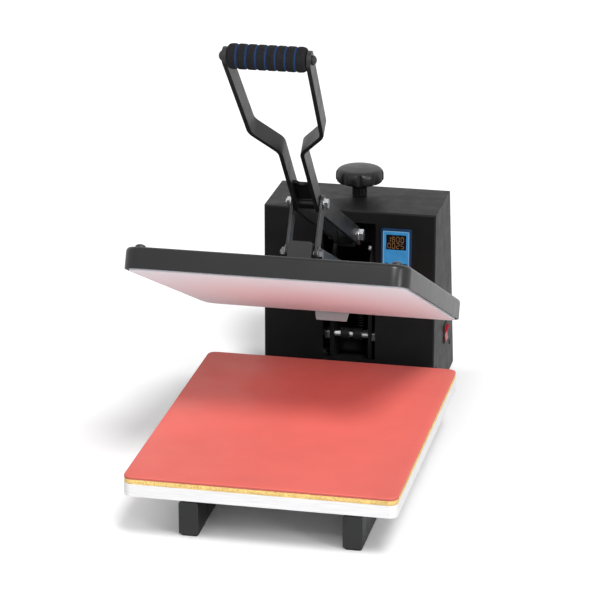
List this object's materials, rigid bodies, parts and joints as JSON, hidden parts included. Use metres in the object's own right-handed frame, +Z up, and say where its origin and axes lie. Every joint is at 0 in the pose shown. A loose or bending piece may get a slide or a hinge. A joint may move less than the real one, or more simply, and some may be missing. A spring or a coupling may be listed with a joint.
{
  "type": "flat heat press",
  "caption": "Clamshell flat heat press shown open: padded table, hinged heated platen, toggle handle with a ribbed grip, control box with digital controller and pressure knob.",
  "frame": {"origin": "on the floor under the middle of the bounding box", "axes": "+X to the user's right, +Y from the pad to the control box, +Z up; the handle is at the front"},
  "size_m": [0.39, 0.822, 0.7098],
  "materials": {
    "rail_black": "satin",
    "cap_black": "matte",
    "rubber_black": "matte",
    "base_grey": "satin",
    "table_alu": "machined",
    "sponge_yellow": "open foam",
    "pad_red": "matte silicone",
    "frame_dark": "satin",
    "zinc": "zinc plated",
    "bright_steel": "ground",
    "spring_steel": "oiled",
    "housing_black": "fine powder coat",
    "screw_black": "black oxide",
    "inlet_black": "matte",
    "relay_cream": "matte",
    "terminal_white": "matte",
    "case_black": "matte",
    "bezel_blue": "satin",
    "face_blue": "satin film",
    "display_dark": "clear over dark",
    "button_grey": "matte",
    "rocker_red": "translucent",
    "knob_black": "satin",
    "screw_steel": "dark phosphate",
    "plate_alu": "coated",
    "board_cream": "matte",
    "cover_charcoal": "satin powder coat",
    "arm_black": "satin",
    "bush_bronze": "sintered",
    "bracket_grey": "brushed",
    "bar_black": "satin",
    "rod_black": "satin",
    "grip_foam": "closed foam"
  },
  "bodies": {
    "frame": {"base_rail_left": "rail_black", "base_rail_right": "rail_black", "rail_end_caps": "cap_black", "rubber_feet": "rubber_black", "front_cross_member": "rail_black", "rear_cross_member": "rail_black", "base_plate": "base_grey", "table_bolts": "zinc", "table_plate": "table_alu", "sponge_layer": "sponge_yellow", "silicone_pad": "pad_red", "frame_plate_left": "frame_dark", "frame_plate_right": "frame_dark", "frame_bolts": "zinc", "screw_bridge": "frame_dark", "frame_tie_rod": "bright_steel", "hinge_shaft": "bright_steel", "hinge_nuts": "zinc", "spring_anchor": "zinc", "lift_spring": "spring_steel", "housing_shell": "housing_black", "rear_panel": "housing_black", "housing_screws": "screw_black", "panel_screws": "screw_black", "power_inlet": "inlet_black", "relay_module": "relay_cream", "terminal_block": "terminal_white", "controller_case": "case_black", "controller_bezel": "bezel_blue", "controller_face": "face_blue", "display_window": "display_dark", "switch_bezel": "inlet_black"},
    "screw": {"pressure_knob": "knob_black", "pressure_screw": "screw_steel"},
    "carriage": {"pressure_carriage": "frame_dark", "carriage_bolt": "zinc"},
    "handle": {"handle_bar_left": "bar_black", "handle_bar_right": "bar_black", "handle_web": "bar_black", "pivot_spacer": "bar_black", "handle_bolt": "zinc", "grip_rod": "rod_black", "foam_grip": "grip_foam"},
    "toggle_links": {"links": "bar_black"},
    "platen": {"heating_plate": "plate_alu", "insulation_board": "board_cream", "platen_cover": "cover_charcoal", "cover_screws": "screw_black", "platen_studs": "zinc", "arm_mount_plate": "arm_black", "platen_arm": "arm_black", "hinge_bushes": "bush_bronze", "tail_pin_bolt": "zinc", "rear_bracket": "bracket_grey", "heater_gland": "inlet_black", "arm_bolt": "screw_steel"},
    "rocker": {"switch_rocker": "rocker_red"},
    "left_button": {"button_left": "button_grey"},
    "middle_button": {"button_middle": "button_grey"},
    "right_button": {"button_right": "button_grey"}
  },
  "joints": [
    {"name": "platen_hinge", "type": "hinge", "parent": "frame", "child": "platen", "pos_m": [0, 0.269, 0.172], "axis": [1, 0, 0], "range_deg": [0, 24.3], "stiffness_Nm_per_rad": 70, "springref_deg": -91.67, "deforming": ["lift_spring"]},
    {"name": "knob_turn", "type": "hinge", "parent": "frame", "child": "screw", "pos_m": [0, 0.299, 0.34], "axis": [0, 0, -1], "range_deg": [0, 540]},
    {"name": "carriage_slide", "type": "slide", "parent": "frame", "child": "carriage", "axis": [0, 0, -1], "range_m": [0, 0.003]},
    {"name": "handle_pivot", "type": "hinge", "parent": "carriage", "child": "handle", "pos_m": [0, 0.199, 0.278], "axis": [1, 0, 0], "range_deg": [0, 34.78]},
    {"name": "link_pivot", "type": "hinge", "parent": "handle", "child": "toggle_links", "pos_m": [0, -0.08628, 0.4162], "axis": [1, 0, 0], "range_deg": [-46.36, 0]},
    {"name": "rocker_tilt", "type": "hinge", "parent": "frame", "child": "rocker", "pos_m": [0.1305, 0.323, 0.086], "axis": [0, -1, 0], "range_deg": [0, 18]},
    {"name": "button_left_press", "type": "slide", "parent": "frame", "child": "left_button", "axis": [0, 1, 0], "range_m": [0, 0.0008], "stiffness_N_per_m": 600, "springref_m": -0.001},
    {"name": "button_middle_press", "type": "slide", "parent": "frame", "child": "middle_button", "axis": [0, 1, 0], "range_m": [0, 0.0008], "stiffness_N_per_m": 600, "springref_m": -0.001},
    {"name": "button_right_press", "type": "slide", "parent": "frame", "child": "right_button", "axis": [0, 1, 0], "range_m": [0, 0.0008], "stiffness_N_per_m": 600, "springref_m": -0.001}
  ],
  "couplings": [
    {"joint": "handle_pivot", "follows": "platen_hinge", "ratio": 1.4314},
    {"joint": "link_pivot", "follows": "platen_hinge", "ratio": -1.9079},
    {"joint": "knob_turn", "follows": "carriage_slide", "rad_per_m": 3141.6}
  ]
}
